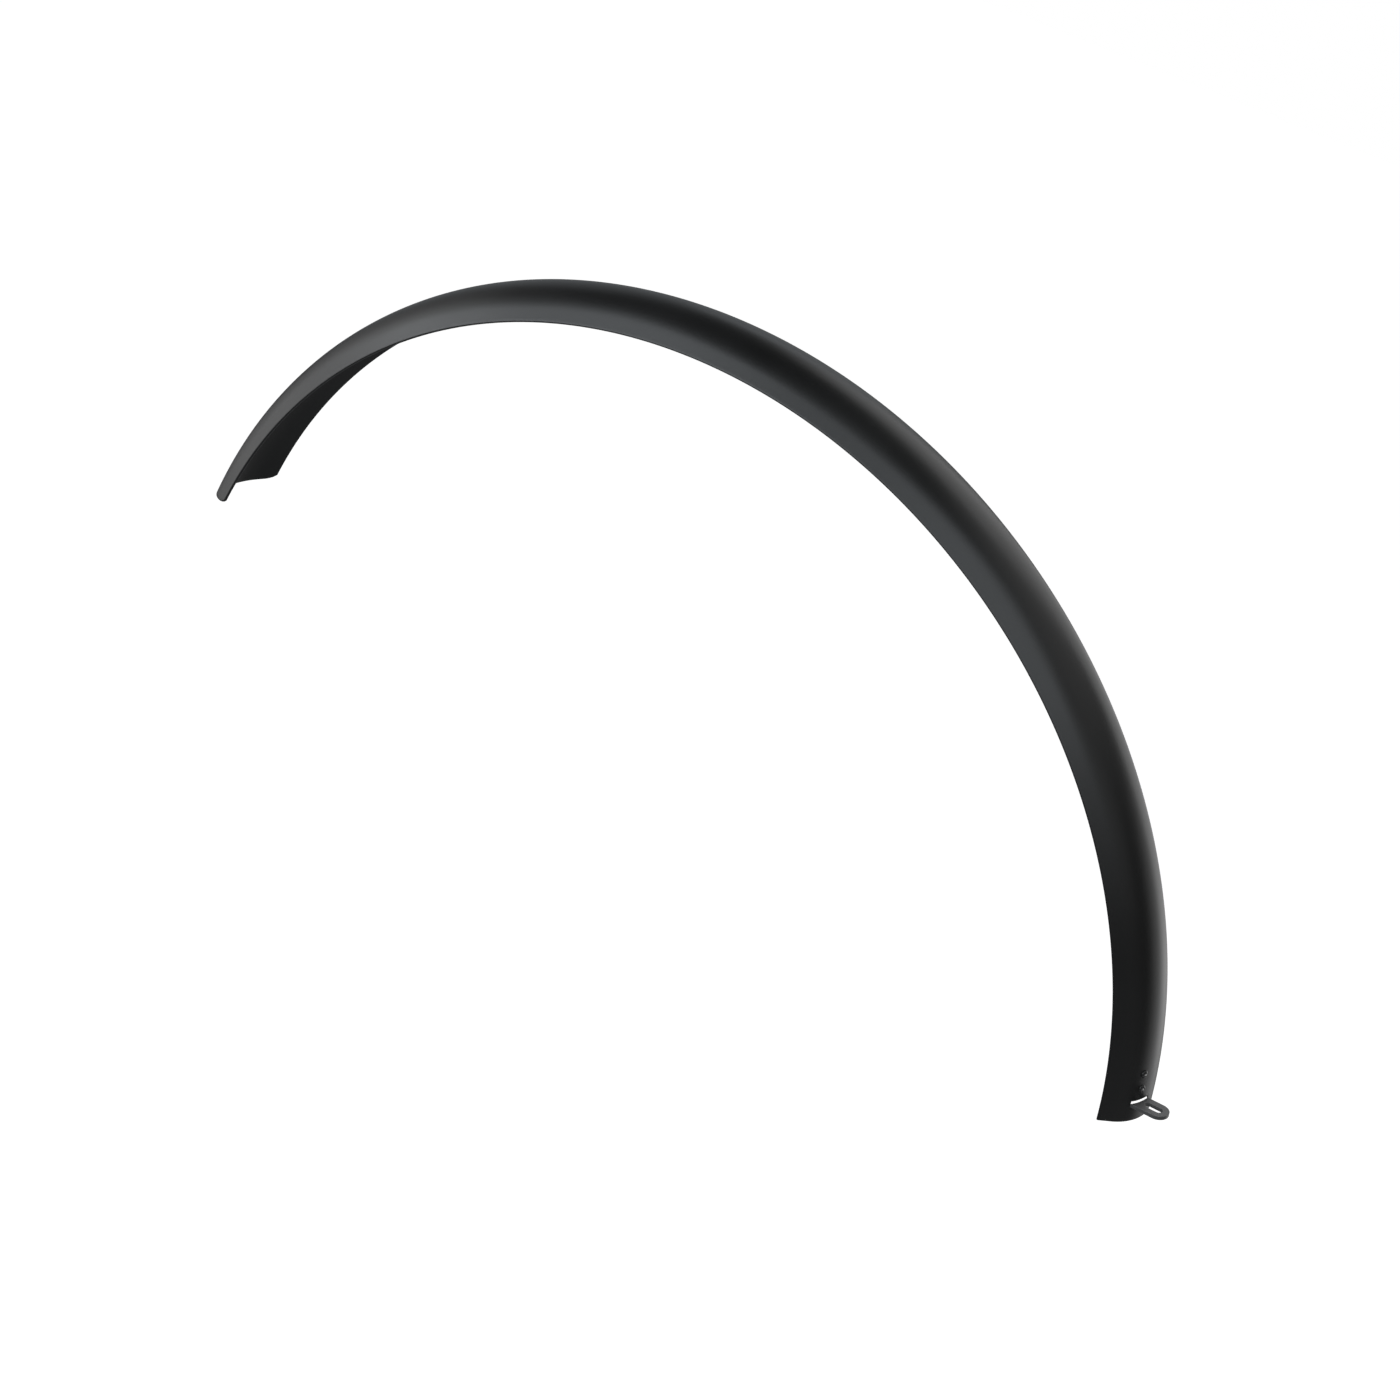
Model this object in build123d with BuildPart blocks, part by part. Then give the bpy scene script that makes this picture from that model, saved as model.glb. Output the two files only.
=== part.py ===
from build123d import *
import os
from math import asin, cos, degrees, radians, sin, sqrt

# Rear mudguard for a 28-inch bicycle wheel, in millimetres.
# The origin is the wheel's centre: +X runs along the axle to the rider's right, +Y forwards, +Z up.
# Angles are taken about the axle, in degrees, from +Y (forwards) towards +Z (up).

# Blade: a domed channel, bent round the wheel
blade_width = 55.0            # over the two lips, before their edges are broken
blade_wall = 1.8
crown_radius = 368.4          # axle to the outside of the crown
crown_arc_radius = 28.5       # outside of the dome, seen across the blade
crown_half_angle = 50.9       # the dome ends here and goes on as a straight flank
lip_chamfer = 0.4             # both edges of each lip are broken
front_end_angle = -1.85       # square front end
rear_round_angle = 160.17     # the rounded rear end starts here
rear_round_length = 17.6
rear_round_margin = 0.5       # half width of the rear ellipse beyond the lips
rear_over_run = 1.0           # angle swept past the rear tip, then cut off by the ellipse

# Mounting bracket: a saddle under the crown with a slotted tab that passes out through the blade
bracket_offset = 7.4          # its centre line, to the right of the blade's middle
tab_width = 14.0
tab_thickness = 2.5
tab_reach = 18.1              # from the crown's outside to the tip of the tab
tab_edge_chamfer = 0.15
bolt_slot_width = 5.1         # clearance for an M5 bolt
bolt_slot_length = 11.8
bolt_slot_to_tip = 4.3        # metal left between the slot and the tip
saddle_width = 22.0
saddle_thickness = 2.0
saddle_corner_round = 3.0
saddle_above_rivet = 7.0
saddle_below_tab = 6.0
corner_tolerance = 0.001      # on the length of the saddle's corner edges
seat_clearance = 0.1          # between the ends of the saddle and the inside of the blade

# Slit in the blade for the tab, with daylight above the tab
slit_clearance = 0.15
slit_gap = 1.7                # open height above the tab
drain_direction = (-0.772, -0.322, -0.549)   # the gap drains inwards, down and to the left
drain_lead = 9.0              # cut that starts outside the blade
drain_length = 26.0

# Two blind rivets above the tab, square to the surface of the crown
rivet_offset = 8.9            # their line, to the right of the blade's middle
lower_rivet_height = 10.9     # along the crown, from the middle of the tab
rivet_pitch = 10.3
rivet_shank_diameter = 2.4
rivet_hole_clearance = 0.05
rivet_hole_draft = 0.05       # the blade's moulded holes open by this much towards the outside
rivet_head_diameter = 5.0
rivet_head_height = 0.9
rivet_rim_height = 0.3
rivet_dish_diameter = 3.0     # shallow dish in the top of the head
rivet_dish_depth = 0.4
rivet_bulb_diameter = 3.8     # upset tail inside the saddle
rivet_bulb_length = 2.8
rivet_tail_diameter = 2.8
rivet_seat_clearance = 0.2    # the flat of the tail bridges the hollow of the saddle
mandrel_diameter = 1.5
mandrel_clearance = 0.05
mandrel_stand = 0.2           # broken end, above the top of the head
mandrel_head_diameter = 2.3
mandrel_head_length = 1.2
mandrel_head_chamfer = 0.4

section_centre = crown_radius - crown_arc_radius
flank_length = (blade_width / 2 - crown_arc_radius * sin(radians(crown_half_angle))) / cos(
    radians(crown_half_angle)
)
saddle_outer_radius = crown_arc_radius - blade_wall - seat_clearance
saddle_inner_radius = saddle_outer_radius - saddle_thickness
rivet_tilt = asin(rivet_offset / crown_arc_radius)
rivet_hole_radius = rivet_shank_diameter / 2 + rivet_hole_clearance
rivet_height_by_name = {
    "upper": lower_rivet_height + rivet_pitch,
    "lower": lower_rivet_height,
}
saddle_low = -tab_thickness / 2 - saddle_below_tab
saddle_high = rivet_height_by_name["upper"] + saddle_above_rivet
saddle_length = saddle_high - saddle_low
saddle_sag = section_centre - sqrt(section_centre**2 - (saddle_length / 2) ** 2)
rivet_grip = blade_wall + seat_clearance + saddle_sag + saddle_thickness + rivet_seat_clearance


def radial_plane(angle):
    """Plane through the axle: local x is outwards, local y is the axle's +X."""
    outward = Vector(0, cos(radians(angle)), sin(radians(angle)))
    return Plane(origin=(0, 0, 0), x_dir=outward, z_dir=outward.cross(Vector(1, 0, 0)))


def tangent_plane(angle):
    """Plane square to the radius: local x runs back along the blade, local y is the axle's +X."""
    outward = Vector(0, cos(radians(angle)), sin(radians(angle)))
    return Plane(origin=(0, 0, 0), x_dir=Vector(1, 0, 0).cross(outward), z_dir=outward)


def arc_angle(length):
    """Angle about the axle of a length measured along the crown."""
    return degrees(length / crown_radius)


def rivet_plane(height):
    """Plane on the crown's outside at a rivet: the normal is the rivet's axis, outwards."""
    across = tangent_plane(arc_angle(height))
    reach = section_centre + crown_arc_radius * cos(rivet_tilt)
    normal = across.z_dir * cos(rivet_tilt) + Vector(1, 0, 0) * sin(rivet_tilt)
    return Plane(
        origin=across.z_dir * reach + Vector(rivet_offset, 0, 0),
        x_dir=across.x_dir,
        z_dir=normal,
    )


def crown_point(across, height):
    """Point on the crown's outside, by its X and its Z, near the tab."""
    reach = section_centre + sqrt(crown_arc_radius**2 - across**2)
    return Vector(across, sqrt(reach**2 - height**2), height)


# Mouth of the drain: the part of the slit that stays open above the tab, seen along the drain
tab_right = bracket_offset + tab_width / 2
tab_left = bracket_offset - tab_width / 2
tab_top = tab_thickness / 2
slit_top = tab_top + slit_gap
drain_plane = Plane(
    origin=crown_point(bracket_offset, tab_top + slit_gap / 2),
    x_dir=Vector(1, 0, 0).cross(Vector(*drain_direction)),
    z_dir=drain_direction,
)


def drain_point(across, height):
    """A point of the slit's edge in the drain plane's own coordinates."""
    local = drain_plane.to_local_coords(crown_point(across, height))
    return (local.X, local.Y)


with BuildSketch(drain_plane.offset(-drain_lead)) as drain_mouth:
    with BuildLine():
        upper = ThreePointArc(*[drain_point(x, slit_top) for x in (tab_right, bracket_offset, tab_left)])
        lower = ThreePointArc(*[drain_point(x, tab_top) for x in (tab_left, bracket_offset, tab_right)])
        Line(upper @ 1, lower @ 0)
        Line(lower @ 1, upper @ 0)
    make_face()

# Blade
with BuildPart() as blade:
    with BuildSketch(radial_plane(front_end_angle)) as blade_section:
        with BuildLine():
            flanks = []
            for radius in (crown_arc_radius, crown_arc_radius - blade_wall):
                dome = CenterArc((section_centre, 0), radius, -crown_half_angle, 2 * crown_half_angle)
                right = PolarLine(dome @ 1, flank_length, direction=dome % 1)
                left = PolarLine(dome @ 0, flank_length, direction=(dome % 0) * -1)
                flanks.append((right, left))
            (outer_right, outer_left), (inner_right, inner_left) = flanks
            Line(outer_right @ 1, inner_right @ 1)
            Line(outer_left @ 1, inner_left @ 1)
        make_face()
        chamfer(blade_section.vertices().sort_by(Axis.X)[:4], lip_chamfer)
    rear_tip_angle = rear_round_angle + degrees(asin(rear_round_length / crown_radius))
    revolve(axis=Axis.X, revolution_arc=rear_tip_angle - front_end_angle + rear_over_run)
    with BuildSketch(tangent_plane(rear_round_angle)):
        with Locations((rear_round_length, 0)):
            Rectangle(2 * rear_round_length, 2 * blade_width)
        Ellipse(rear_round_length, blade_width / 2 + rear_round_margin, mode=Mode.SUBTRACT)
    extrude(amount=crown_radius + blade_width, mode=Mode.SUBTRACT)
    with BuildSketch(Plane(origin=(bracket_offset, 0, slit_gap / 2), x_dir=(1, 0, 0), z_dir=(0, 1, 0))):
        Rectangle(tab_width + 2 * slit_clearance, tab_thickness + slit_gap + 2 * slit_clearance)
    extrude(amount=crown_radius + blade_width, mode=Mode.SUBTRACT)
    extrude(drain_mouth.sketch, amount=drain_length, mode=Mode.SUBTRACT)
    for height in rivet_height_by_name.values():
        with BuildSketch(rivet_plane(height)):
            Circle(rivet_hole_radius + rivet_hole_draft)
        with BuildSketch(rivet_plane(height).offset(-2 * rivet_grip)):
            Circle(rivet_hole_radius)
        loft(mode=Mode.SUBTRACT)
blade.part.label = "blade"

# Mounting bracket
tab_end_centre = crown_radius + tab_reach - tab_width / 2
slot_centre = crown_radius + tab_reach - bolt_slot_to_tip - bolt_slot_length / 2
saddle_centre = section_centre - saddle_sag
saddle_right = degrees(asin((bracket_offset + saddle_width / 2) / saddle_outer_radius))
saddle_left = degrees(asin((bracket_offset - saddle_width / 2) / saddle_outer_radius))

with BuildPart() as bracket:
    with BuildSketch(Plane.XY):
        with Locations((bracket_offset, (section_centre + tab_end_centre) / 2)):
            Rectangle(tab_width, tab_end_centre - section_centre)
        with Locations((bracket_offset, tab_end_centre)):
            Circle(tab_width / 2)
        with Locations((0, saddle_centre)):
            Circle((saddle_outer_radius + saddle_inner_radius) / 2, mode=Mode.SUBTRACT)
        with Locations((bracket_offset, slot_centre)):
            SlotOverall(bolt_slot_length, bolt_slot_width, rotation=90, mode=Mode.SUBTRACT)
    extrude(amount=tab_thickness / 2, both=True)
    chamfer(bracket.faces().filter_by(Plane.XY).edges(), tab_edge_chamfer)
    with BuildSketch(radial_plane(arc_angle((saddle_low + saddle_high) / 2))):
        with BuildLine():
            top = CenterArc((saddle_centre, 0), saddle_outer_radius, saddle_left, saddle_right - saddle_left)
            under = CenterArc((saddle_centre, 0), saddle_inner_radius, saddle_left, saddle_right - saddle_left)
            Line(top @ 0, under @ 0)
            Line(top @ 1, under @ 1)
        make_face()
    extrude(amount=saddle_length / 2, both=True)
    corners = bracket.edges().filter_by(GeomType.LINE).filter_by(
        lambda edge: abs(edge.length - saddle_thickness) < corner_tolerance
    )
    fillet(corners, saddle_corner_round)
    extrude(drain_mouth.sketch, amount=drain_length, mode=Mode.SUBTRACT)
    for height in rivet_height_by_name.values():
        with BuildSketch(rivet_plane(height)):
            Circle(rivet_hole_radius)
        extrude(amount=-2 * rivet_grip, mode=Mode.SUBTRACT)
bracket.part.label = "mounting_bracket"

# Each piece has a STEP file of its own
os.makedirs("parts", exist_ok=True)
export_step(blade.part, "parts/blade.step")
export_step(bracket.part, "parts/mounting_bracket.step")

# Blind rivets, each a hollow body with the broken mandrel left in it
for name, height in rivet_height_by_name.items():
    seat = rivet_plane(height)
    side_plane = Plane(origin=seat.origin, x_dir=seat.x_dir, z_dir=seat.x_dir.cross(seat.z_dir))
    rivet_axis = Axis(seat.origin, seat.z_dir)
    bore = mandrel_diameter / 2 + mandrel_clearance
    tail_end = -rivet_grip - rivet_bulb_length

    with BuildPart() as rivet:
        with BuildSketch(side_plane):
            with BuildLine():
                Polyline(
                    (rivet_head_diameter / 2, 0),
                    (rivet_head_diameter / 2, rivet_rim_height),
                    (rivet_dish_diameter / 2, rivet_head_height),
                    (bore, rivet_head_height - rivet_dish_depth),
                    (bore, tail_end),
                    (rivet_tail_diameter / 2, tail_end),
                    (rivet_bulb_diameter / 2, -rivet_grip - rivet_bulb_length / 2),
                    (rivet_bulb_diameter / 2, -rivet_grip),
                    (rivet_shank_diameter / 2, -rivet_grip),
                    (rivet_shank_diameter / 2, 0),
                    close=True,
                )
            make_face()
        revolve(axis=rivet_axis)
    rivet.part.label = "rivet_" + name
    export_step(rivet.part, "parts/rivet_" + name + ".step")

    with BuildPart() as mandrel:
        with BuildSketch(side_plane):
            with BuildLine():
                Polyline(
                    (0, rivet_head_height + mandrel_stand),
                    (mandrel_diameter / 2, rivet_head_height + mandrel_stand),
                    (mandrel_diameter / 2, tail_end),
                    (mandrel_head_diameter / 2, tail_end),
                    (mandrel_head_diameter / 2, tail_end - mandrel_head_length),
                    (0, tail_end - mandrel_head_length),
                    close=True,
                )
            make_face()
        revolve(axis=rivet_axis)
        chamfer(mandrel.edges().group_by(rivet_axis)[0], mandrel_head_chamfer)
    mandrel.part.label = "mandrel_" + name
    export_step(mandrel.part, "parts/mandrel_" + name + ".step")
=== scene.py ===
from math import asin, atan2, cos, hypot, pi, radians, sin, sqrt

import bmesh
import bpy
from mathutils import Matrix, Vector


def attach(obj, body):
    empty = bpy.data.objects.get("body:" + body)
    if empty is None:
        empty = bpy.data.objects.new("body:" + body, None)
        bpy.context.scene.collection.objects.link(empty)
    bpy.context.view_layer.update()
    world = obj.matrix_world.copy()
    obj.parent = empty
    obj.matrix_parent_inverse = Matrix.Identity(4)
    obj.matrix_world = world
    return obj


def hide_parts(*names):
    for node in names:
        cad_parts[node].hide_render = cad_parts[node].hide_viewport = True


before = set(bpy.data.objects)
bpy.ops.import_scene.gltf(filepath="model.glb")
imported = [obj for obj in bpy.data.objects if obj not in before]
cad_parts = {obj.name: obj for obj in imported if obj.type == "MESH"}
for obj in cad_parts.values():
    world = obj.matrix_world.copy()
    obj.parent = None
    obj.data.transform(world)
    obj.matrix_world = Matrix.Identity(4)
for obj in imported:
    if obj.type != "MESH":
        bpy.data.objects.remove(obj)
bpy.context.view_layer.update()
print("frame loaded:", ", ".join(sorted(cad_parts)))

# metres; origin on the wheel's axle, +X to the rider's right, +Y forwards, +Z up
axle = Vector((1, 0, 0))
centre = Vector((0, 0, 0))
weldDistance = 1e-6                   # points closer than this become one


def newObject(name, bm):
    mesh = bpy.data.meshes.new(name)
    bm.to_mesh(mesh)
    bm.free()
    obj = bpy.data.objects.new(name, mesh)
    bpy.context.scene.collection.objects.link(obj)
    return obj


def newPiece(name, bm, replacedNode):
    piece = newObject(name, bm)
    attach(piece, "root")
    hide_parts(replacedNode)
    return piece


def shadeSmooth(piece, sharpAngle):
    mesh = piece.data
    mesh.polygons.foreach_set("use_smooth", [True] * len(mesh.polygons))
    mesh.set_sharp_from_angle(angle=sharpAngle)


# every finish: uneven shade and gloss from one noise, a fine surface from another
noiseSpan = (0.3, 0.7)                # most of a noise lies between these


def grey(value):
    return (value, value, value, 1)


def noiseNode(nodes, links, coords, scale, detail):
    noise = nodes.new("ShaderNodeTexNoise")
    noise.inputs["Scale"].default_value = scale
    noise.inputs["Detail"].default_value = detail
    links.new(coords.outputs["Object"], noise.inputs["Vector"])
    return noise


def rampNode(nodes, links, source, span):
    ramp = nodes.new("ShaderNodeValToRGB")
    low, high = ramp.color_ramp.elements
    low.position, high.position = noiseSpan
    low.color, high.color = grey(span[0]), grey(span[1])
    links.new(source.outputs["Fac"], ramp.inputs["Fac"])
    return ramp


def newFinish(name, look):
    material = bpy.data.materials.new(name)
    material.use_nodes = True
    nodes = material.node_tree.nodes
    links = material.node_tree.links
    shader = nodes["Principled BSDF"]
    coords = nodes.new("ShaderNodeTexCoord")
    cloud = noiseNode(nodes, links, coords, look["cloudScale"], look["cloudDetail"])
    shade = rampNode(nodes, links, cloud, look["shade"])
    links.new(shade.outputs["Color"], shader.inputs["Base Color"])
    gloss = rampNode(nodes, links, cloud, look["roughness"])
    links.new(gloss.outputs["Color"], shader.inputs["Roughness"])
    grain = noiseNode(nodes, links, coords, look["grainScale"], look["grainDetail"])
    bump = nodes.new("ShaderNodeBump")
    bump.inputs["Strength"].default_value = look["grainStrength"]
    bump.inputs["Distance"].default_value = look["grainDepth"]
    links.new(grain.outputs["Fac"], bump.inputs["Height"])
    links.new(bump.outputs["Normal"], shader.inputs["Normal"])
    shader.inputs["Metallic"].default_value = look["metallic"]
    shader.inputs["Specular IOR Level"].default_value = look["specular"]
    return material


def wear(piece, material):
    piece.data.materials.clear()
    piece.data.materials.append(material)


# the blade: a dome and two flanks, spun about the axle, with a rounded tail
blade = {
    "crownRadius": 0.3684,            # axle to the outside of the crown
    "domeRadius": 0.0285,             # outside of the dome, seen across the blade
    "domeHalfAngle": radians(50.9),
    "width": 0.055,                   # over the lips
    "wall": 0.0018,
    "edgeRound": 0.0006,
    "edgeSteps": 3,
    "edgeAngle": radians(60),         # edges sharper than this are rounded
    "smoothAngle": radians(40),
    "frontAngle": radians(-1.85),
    "rearAngle": radians(160.17),     # the rounded tail starts here
    "tailLength": 0.0176,
    "tailMargin": 0.0005,             # half width of the tail's ellipse beyond the lips
    "tailFlow": radians(7.0),         # the mesh gathers into the tail over this angle
    "stepsAlong": 330,
    "stepsAcross": 36,
    "stepsFlank": 5,
    "look": {
        "shade": (0.0070, 0.0090),
        "roughness": (0.36, 0.40),
        "cloudScale": 14,             # faint unevenness of the moulding
        "cloudDetail": 4,
        "grainScale": 1800,           # fine moulded grain
        "grainDetail": 2,
        "grainStrength": 0.06,
        "grainDepth": 0.0002,
        "metallic": 0.0,
        "specular": 0.5,
    },
}

domeCentre = blade["crownRadius"] - blade["domeRadius"]
domeReach = blade["domeRadius"] * sin(blade["domeHalfAngle"])
flankLength = (blade["width"] / 2 - domeReach) / cos(blade["domeHalfAngle"])


def bladeSection(bm):
    start = bm.verts.new((0, blade["crownRadius"], 0))
    middle = Vector((0, domeCentre, 0))
    along = Vector((0, 0, 1))
    half = blade["domeHalfAngle"]
    bmesh.ops.rotate(bm, verts=[start], cent=middle, matrix=Matrix.Rotation(-half, 3, along))
    bmesh.ops.spin(
        bm, geom=[start], cent=middle, axis=along,
        angle=2 * half, steps=blade["stepsAcross"], use_merge=False
    )
    for side in (-1, 1):
        lastVert = max(bm.verts, key=lambda v: v.co.x * side)
        flank = bmesh.ops.extrude_vert_indiv(bm, verts=[lastVert])
        fall = Vector((side * cos(half), -sin(half), 0)) * flankLength
        bmesh.ops.translate(bm, verts=flank["verts"], vec=fall)
        bmesh.ops.subdivide_edges(bm, edges=flank["edges"], cuts=blade["stepsFlank"] - 1)


# where the tail ends: a half ellipse, seen square on
def tailAngle(across, reach):
    halfWidth = blade["width"] / 2 + blade["tailMargin"]
    length = blade["tailLength"] * sqrt(max(0.0, 1 - (across / halfWidth) ** 2))
    return blade["rearAngle"] + asin(length / reach)


def gatherTail(bm, lastAngle):
    flowStart = blade["rearAngle"] - blade["tailFlow"]
    for vert in bm.verts:
        angle = atan2(vert.co.z, vert.co.y)
        if angle > flowStart:
            reach = hypot(vert.co.y, vert.co.z)
            share = (angle - flowStart) / (lastAngle - flowStart)
            angle = flowStart + share * (tailAngle(vert.co.x, reach) - flowStart)
            vert.co.y = reach * cos(angle)
            vert.co.z = reach * sin(angle)


def bladeShell():
    bm = bmesh.new()
    bladeSection(bm)
    lastAngle = tailAngle(0, blade["crownRadius"])
    turn = Matrix.Rotation(blade["frontAngle"], 3, axle)
    bmesh.ops.rotate(bm, verts=bm.verts[:], cent=centre, matrix=turn)
    bmesh.ops.spin(
        bm, geom=bm.verts[:] + bm.edges[:], cent=centre, axis=axle,
        angle=lastAngle - blade["frontAngle"], steps=blade["stepsAlong"], use_merge=False
    )
    gatherTail(bm, lastAngle)
    bmesh.ops.recalc_face_normals(bm, faces=bm.faces[:])
    crown = Vector((0, 0, blade["crownRadius"]))
    topFace = min(bm.faces, key=lambda f: (f.calc_center_median() - crown).length)
    if topFace.normal.z < 0:                               # the wall goes inwards
        bmesh.ops.reverse_faces(bm, faces=bm.faces[:])
    bmesh.ops.solidify(bm, geom=bm.faces[:], thickness=blade["wall"])
    bm.normal_update()
    folds = [e for e in bm.edges if len(e.link_faces) == 2]
    rim = [e for e in folds if e.calc_face_angle() > blade["edgeAngle"]]
    bmesh.ops.bevel(
        bm, geom=rim, offset=blade["edgeRound"], offset_type="OFFSET", segments=blade["edgeSteps"],
        profile=0.5, affect="EDGES", material=-1, clamp_overlap=True
    )
    return bm


# what is cut out of the blade: the slit for the tab and its drain, and the rivet holes
slit = {
    "offset": 0.0074,                 # the tab's middle, to the right of the blade's
    "tabWidth": 0.0140,
    "tabThickness": 0.0025,
    "clearance": 0.00015,
    "gap": 0.0017,                    # daylight above the tab
    "cutDepth": 0.04,                 # well through the wall
    "drain": Vector((-0.772, -0.322, -0.549)),       # from the photo's camera to the slit
    "drainLead": 0.009,               # the cut starts this far outside the crown
    "drainLength": 0.026,
    "mouthSteps": 8,
}

rivets = {
    "offset": 0.0089,                 # their line, to the right of the blade's middle
    "heights": {"Upper": 0.0212, "Lower": 0.0109},   # along the crown, above the tab
    "holeRadius": 0.0013,
    "holeDepth": 0.018,
    "shankRadius": 0.0012,
    "headRadius": 0.0025,
    "headHeight": 0.0009,
    "rimHeight": 0.0003,
    "domeRise": 0.00016,              # the head's ring is slightly domed
    "domeSteps": 6,
    "dishRadius": 0.0015,
    "dishLip": 0.0001,
    "dishDepth": 0.0004,
    "dishSag": 0.00008,
    "dishSteps": 4,
    "boreRadius": 0.0008,
    "grip": 0.00456,                  # blade, saddle and the hollow between them
    "bulbRadius": 0.0019,
    "bulbStraight": 0.0015,
    "bulbLength": 0.0028,
    "tailRadius": 0.0014,
    "steps": 48,
    "smoothAngle": radians(35),
    "look": {
        "shade": (0.018, 0.028),
        "roughness": (0.22, 0.30),
        "cloudScale": 2200,
        "cloudDetail": 2,
        "grainScale": 2200,           # a thin coat of enamel
        "grainDetail": 2,
        "grainStrength": 0.03,
        "grainDepth": 0.0001,
        "metallic": 0.0,
        "specular": 0.5,
    },
}


def crownPoint(across, height):
    reach = domeCentre + sqrt(blade["domeRadius"] ** 2 - across**2)
    return Vector((across, sqrt(reach**2 - height**2), height))


# a rivet stands square to the dome, its own Z pointing outwards
def rivetPlace(height):
    angle = height / blade["crownRadius"]
    tilt = asin(rivets["offset"] / blade["domeRadius"])
    outward = Vector((0, cos(angle), sin(angle)))
    normal = outward * cos(tilt) + axle * sin(tilt)
    reach = domeCentre + blade["domeRadius"] * cos(tilt)
    side = axle.cross(outward)
    turn = Matrix((side, normal.cross(side), normal)).transposed().to_4x4()
    return Matrix.Translation(outward * reach + axle * rivets["offset"]) @ turn


def slitCutter():
    bm = bmesh.new()
    width = slit["tabWidth"] + 2 * slit["clearance"]
    height = slit["tabThickness"] + slit["gap"] + 2 * slit["clearance"]
    place = Matrix.Translation((slit["offset"], blade["crownRadius"], slit["gap"] / 2))
    size = Matrix.Diagonal((width, slit["cutDepth"], height, 1))
    bmesh.ops.create_cube(bm, size=1, matrix=place @ size)
    return bm


def drainCutter():
    bm = bmesh.new()
    left = slit["offset"] - slit["tabWidth"] / 2
    tabTop = slit["tabThickness"] / 2
    steps = slit["mouthSteps"]
    across = [left + slit["tabWidth"] * i / steps for i in range(steps + 1)]
    mouth = [crownPoint(x, tabTop + slit["gap"]) for x in across]
    mouth += [crownPoint(x, tabTop) for x in reversed(across)]
    face = bm.faces.new([bm.verts.new(p - slit["drain"] * slit["drainLead"]) for p in mouth])
    drain = bmesh.ops.extrude_face_region(bm, geom=[face])
    ends = [v for v in drain["geom"] if isinstance(v, bmesh.types.BMVert)]
    bmesh.ops.translate(bm, verts=ends, vec=slit["drain"] * slit["drainLength"])
    bmesh.ops.recalc_face_normals(bm, faces=bm.faces[:])
    return bm


def holeCutter(height):
    bm = bmesh.new()
    bmesh.ops.create_cone(
        bm, cap_ends=True, segments=rivets["steps"], radius1=rivets["holeRadius"],
        radius2=rivets["holeRadius"], depth=rivets["holeDepth"], matrix=rivetPlace(height)
    )
    return bm


def cutAway(piece, cutters):
    helpers = [newObject("cutter", bm) for bm in cutters]
    for helper in helpers:
        cut = piece.modifiers.new("cut", "BOOLEAN")
        cut.operation = "DIFFERENCE"
        cut.solver = "EXACT"
        cut.object = helper
    bpy.context.view_layer.update()
    whole = piece.data
    done = piece.evaluated_get(bpy.context.evaluated_depsgraph_get())
    piece.data = bpy.data.meshes.new_from_object(done)
    piece.data.name = piece.name
    piece.modifiers.clear()
    bpy.data.meshes.remove(whole)
    for helper in helpers:
        bpy.data.meshes.remove(helper.data)


bladePiece = newPiece("bladeShell", bladeShell(), "blade")
holes = [holeCutter(height) for height in rivets["heights"].values()]
cutAway(bladePiece, [slitCutter(), drainCutter()] + holes)
shadeSmooth(bladePiece, blade["smoothAngle"])
wear(bladePiece, newFinish("satinBlackPlastic", blade["look"]))
print("blade:", len(bladePiece.data.polygons), "faces")

# the bracket stays the solid from the frame, powder coated
bracket = {
    "look": {
        "shade": (0.060, 0.072),
        "roughness": (0.42, 0.50),
        "cloudScale": 900,
        "cloudDetail": 2,
        "grainScale": 900,            # orange peel
        "grainDetail": 2,
        "grainStrength": 0.15,
        "grainDepth": 0.0002,
        "metallic": 0.0,
        "specular": 0.85,
    },
}

bracketCoat = newFinish("blackPowderCoat", bracket["look"])
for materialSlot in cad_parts["mounting_bracket"].material_slots:
    materialSlot.material = bracketCoat
print("bracket: coated")

# blind rivets: a turned body with a dished head, and the broken mandrel inside it
mandrels = {
    "radius": 0.00075,
    "stand": 0.0002,                  # broken end, above the top of the head
    "tornPeak": 0.00008,
    "tornRing": 0.0004,
    "tornEdge": 0.0001,
    "headRadius": 0.00115,
    "headLength": 0.0012,
    "headChamfer": 0.0004,
    "steps": 32,
    "look": {
        "shade": (0.46, 0.62),
        "roughness": (0.35, 0.55),
        "cloudScale": 4000,
        "cloudDetail": 4,
        "grainScale": 4000,           # torn steel
        "grainDetail": 4,
        "grainStrength": 0.4,
        "grainDepth": 0.0001,
        "metallic": 1.0,
        "specular": 0.5,
    },
}


def turned(profile, steps, place):
    bm = bmesh.new()
    verts = [bm.verts.new((radius, 0, height)) for radius, height in profile]
    edges = [bm.edges.new(pair) for pair in zip(verts, verts[1:])]
    if profile[0][0] > 0:                                  # a ring, not closed on the axis
        edges.append(bm.edges.new((verts[-1], verts[0])))
    bmesh.ops.spin(
        bm, geom=verts + edges, cent=centre, axis=(0, 0, 1),
        angle=2 * pi, steps=steps, use_merge=True
    )
    bmesh.ops.remove_doubles(bm, verts=bm.verts[:], dist=weldDistance)
    bmesh.ops.recalc_face_normals(bm, faces=bm.faces[:])
    bmesh.ops.transform(bm, matrix=place, verts=bm.verts[:])
    return bm


# from one point to another along a parabola that rises most half way
def bowed(start, end, rise, steps):
    ends = Vector(start), Vector(end)
    shares = [i / steps for i in range(steps + 1)]
    return [ends[0].lerp(ends[1], t) + Vector((0, 4 * rise * t * (1 - t))) for t in shares]


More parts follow.
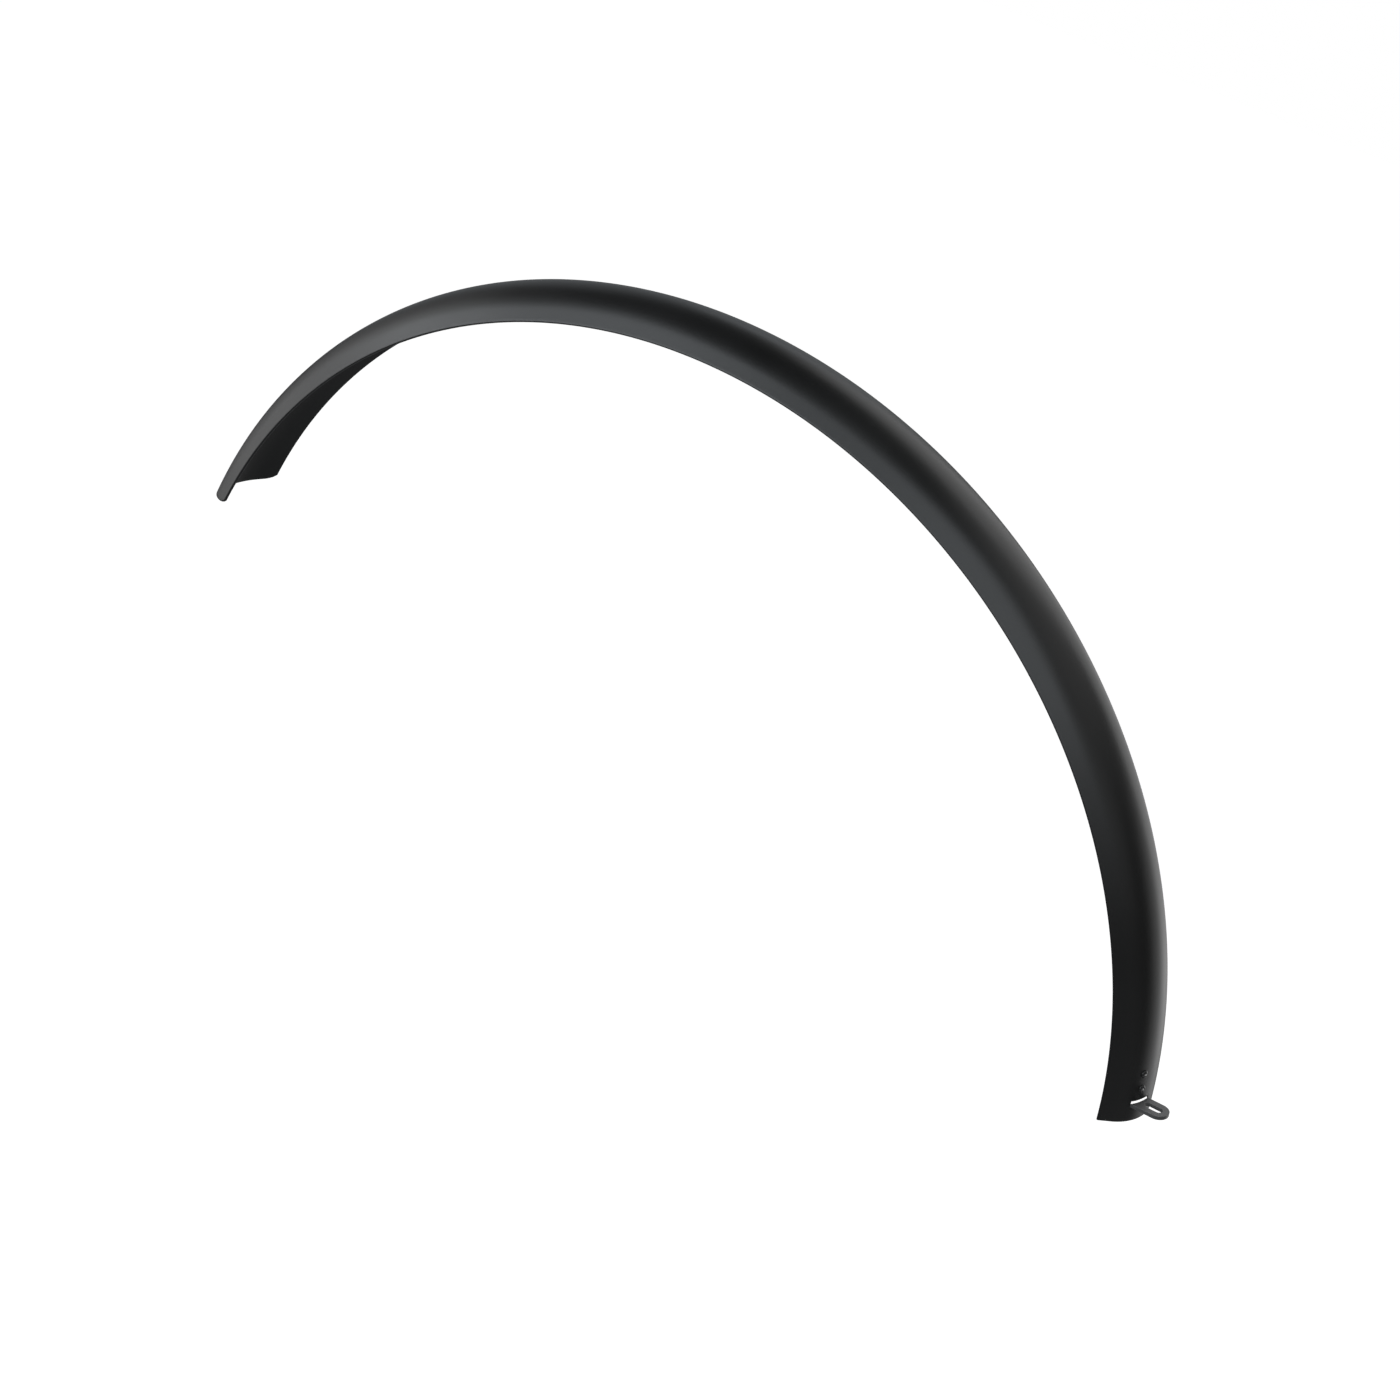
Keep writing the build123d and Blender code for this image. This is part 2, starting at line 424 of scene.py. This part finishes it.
def rivetProfile():
    bottom = -rivets["grip"]
    tailEnd = bottom - rivets["bulbLength"]
    dishFloor = rivets["headHeight"] - rivets["dishDepth"]
    rim = (rivets["headRadius"], rivets["rimHeight"])
    crest = (rivets["dishRadius"], rivets["headHeight"])
    lip = (rivets["dishRadius"] - rivets["dishLip"], rivets["headHeight"])
    return [
        (rivets["shankRadius"], 0),
        (rivets["headRadius"], 0),
        *bowed(rim, crest, rivets["domeRise"], rivets["domeSteps"]),
        *bowed(lip, (rivets["boreRadius"], dishFloor), -rivets["dishSag"], rivets["dishSteps"]),
        (rivets["boreRadius"], tailEnd),
        (rivets["tailRadius"], tailEnd),
        (rivets["bulbRadius"], bottom - rivets["bulbStraight"]),
        (rivets["bulbRadius"], bottom),
        (rivets["shankRadius"], bottom),
    ]


def mandrelProfile():
    top = rivets["headHeight"] + mandrels["stand"]
    tailEnd = -rivets["grip"] - rivets["bulbLength"]
    headEnd = tailEnd - mandrels["headLength"]
    return [
        (0, top + mandrels["tornPeak"]),
        (mandrels["tornRing"], top),
        (mandrels["radius"], top - mandrels["tornEdge"]),
        (mandrels["radius"], tailEnd),
        (mandrels["headRadius"], tailEnd),
        (mandrels["headRadius"], headEnd + mandrels["headChamfer"]),
        (mandrels["headRadius"] - mandrels["headChamfer"], headEnd),
        (0, headEnd),
    ]


enamel = newFinish("blackRivetEnamel", rivets["look"])
steel = newFinish("brokenSteel", mandrels["look"])
for end, height in rivets["heights"].items():
    place = rivetPlace(height)
    node = end.lower()
    bodyMesh = turned(rivetProfile(), rivets["steps"], place)
    body = newPiece("rivetBody" + end, bodyMesh, "rivet_" + node)
    pinMesh = turned(mandrelProfile(), mandrels["steps"], place)
    pin = newPiece("rivetPin" + end, pinMesh, "mandrel_" + node)
    for piece, material in ((body, enamel), (pin, steel)):
        shadeSmooth(piece, rivets["smoothAngle"])
        wear(piece, material)
    print("rivet:", body.name, pin.name)

# studio: white floor and air, soft boxes all round, the photo's camera
studio = {
    "floorHeight": -2.10,             # clear of the lowest soft box
    "floorSize": 12.0,
    "floorShade": 0.35,
    "floorInGloss": 0.02,             # a full white here would turn satin black grey
    "airInGloss": 0.005,
    "aim": Vector((0, 0.05, 0.20)),   # the soft boxes face this point
}

tints = {
    "plain": (1.0, 1.0, 1.0),
    "cool": (0.90, 0.955, 1.0),
}

lamps = {
    # place of each soft box, its width, its watts and its tint
    "farLow": ((-2.65, 0.82, -0.26), 2.4, 17.4, "plain"),
    "frontLow": ((-1.94, 1.91, -0.57), 2.4, 11.4, "plain"),
    "frontFloor": ((-1.60, 1.20, -1.35), 1.6, 2.6, "plain"),
    "nearLow": ((0.80, 2.30, -1.10), 1.8, 1.3, "plain"),
    "front": ((1.30, 2.30, 1.23), 2.4, 6.9, "plain"),
    "frontTop": ((-0.69, 1.86, 2.22), 2.4, 10.9, "plain"),
    "farTop": ((-2.19, 0.52, 1.89), 2.4, 25.0, "plain"),
    "farRearTop": ((-2.26, -1.01, 1.47), 0.8, 1.2, "cool"),
    "farRear": ((-2.26, -1.51, 0.73), 2.4, 6.5, "cool"),
    "rearFar": ((-0.28, -2.74, 0.17), 2.4, 7.1, "plain"),
    "rear": ((0.69, -2.66, 0.26), 2.4, 15.9, "plain"),
    "rearTop": ((0.81, -2.55, 0.85), 0.8, 6.4, "cool"),
    "nearRear": ((2.01, -1.49, 1.39), 2.4, 52.2, "cool"),
    "near": ((2.21, 0.98, 1.65), 2.4, 33.3, "cool"),
}

camera = {
    # its place, and its own three axes
    "place": Vector((2.41007, 1.36829, 1.71122)),
    "right": Vector((-0.55681, 0.81677, 0.15123)),
    "up": Vector((-0.34425, -0.39260, 0.85288)),
    "back": Vector((0.75596, 0.42282, 0.49976)),
    "lens": 133.965,
    "sensor": 36.0,
    "clipEnd": 50,
}


# full white to the camera and in transmission, a small share of it in gloss
def seenWhite(nodes, links, shareInGloss):
    path = nodes.new("ShaderNodeLightPath")
    seen = nodes.new("ShaderNodeMath")
    seen.operation = "MAXIMUM"
    links.new(path.outputs["Is Camera Ray"], seen.inputs[0])
    links.new(path.outputs["Is Transmission Ray"], seen.inputs[1])
    level = nodes.new("ShaderNodeMath")
    level.operation = "MULTIPLY_ADD"
    links.new(path.outputs["Is Glossy Ray"], level.inputs[0])
    level.inputs[1].default_value = shareInGloss
    links.new(seen.outputs["Value"], level.inputs[2])
    return level.outputs["Value"]


def whitePaper():
    material = bpy.data.materials.new("whitePaper")
    material.use_nodes = True
    nodes = material.node_tree.nodes
    links = material.node_tree.links
    nodes.clear()
    paper = nodes.new("ShaderNodeBsdfDiffuse")
    paper.inputs["Color"].default_value = grey(studio["floorShade"])
    glow = nodes.new("ShaderNodeEmission")
    level = seenWhite(nodes, links, studio["floorInGloss"])
    links.new(level, glow.inputs["Strength"])
    both = nodes.new("ShaderNodeAddShader")
    links.new(paper.outputs["BSDF"], both.inputs[0])
    links.new(glow.outputs["Emission"], both.inputs[1])
    out = nodes.new("ShaderNodeOutputMaterial")
    links.new(both.outputs["Shader"], out.inputs["Surface"])
    return material


def buildFloor():
    bm = bmesh.new()
    place = Matrix.Translation((0, 0, studio["floorHeight"]))
    halfSize = studio["floorSize"] / 2
    bmesh.ops.create_grid(bm, x_segments=1, y_segments=1, size=halfSize, matrix=place)
    floor = newObject("studioFloor", bm)
    wear(floor, whitePaper())


def buildWorld():
    world = bpy.data.worlds.new("studioAir")
    bpy.context.scene.world = world
    world.use_nodes = True
    nodes = world.node_tree.nodes
    links = world.node_tree.links
    nodes.clear()
    air = nodes.new("ShaderNodeBackground")
    air.inputs["Color"].default_value = grey(1.0)
    level = seenWhite(nodes, links, studio["airInGloss"])
    links.new(level, air.inputs["Strength"])
    out = nodes.new("ShaderNodeOutputWorld")
    links.new(air.outputs["Background"], out.inputs["Surface"])


def buildLamps():
    for name, (place, width, watts, tint) in lamps.items():
        light = bpy.data.lights.new(name, "AREA")
        light.shape = "SQUARE"
        light.size = width
        light.energy = watts
        light.color = tints[tint]
        lamp = bpy.data.objects.new(name, light)
        bpy.context.scene.collection.objects.link(lamp)
        away = Vector(place) - studio["aim"]
        turn = away.to_track_quat("Z", "Y").to_matrix().to_4x4()
        lamp.matrix_world = Matrix.Translation(place) @ turn
        lamp.visible_camera = False


def buildCamera():
    data = bpy.data.cameras.new("photoCamera")
    data.lens = camera["lens"]
    data.sensor_width = camera["sensor"]
    data.sensor_fit = "HORIZONTAL"
    data.clip_end = camera["clipEnd"]
    obj = bpy.data.objects.new("photoCamera", data)
    bpy.context.scene.collection.objects.link(obj)
    turn = Matrix((camera["right"], camera["up"], camera["back"])).transposed().to_4x4()
    obj.matrix_world = Matrix.Translation(camera["place"]) @ turn
    bpy.context.scene.camera = obj


buildFloor()
buildWorld()
buildLamps()
buildCamera()
bpy.context.scene.view_settings.view_transform = "Standard"
print("studio:", len(lamps), "soft boxes")
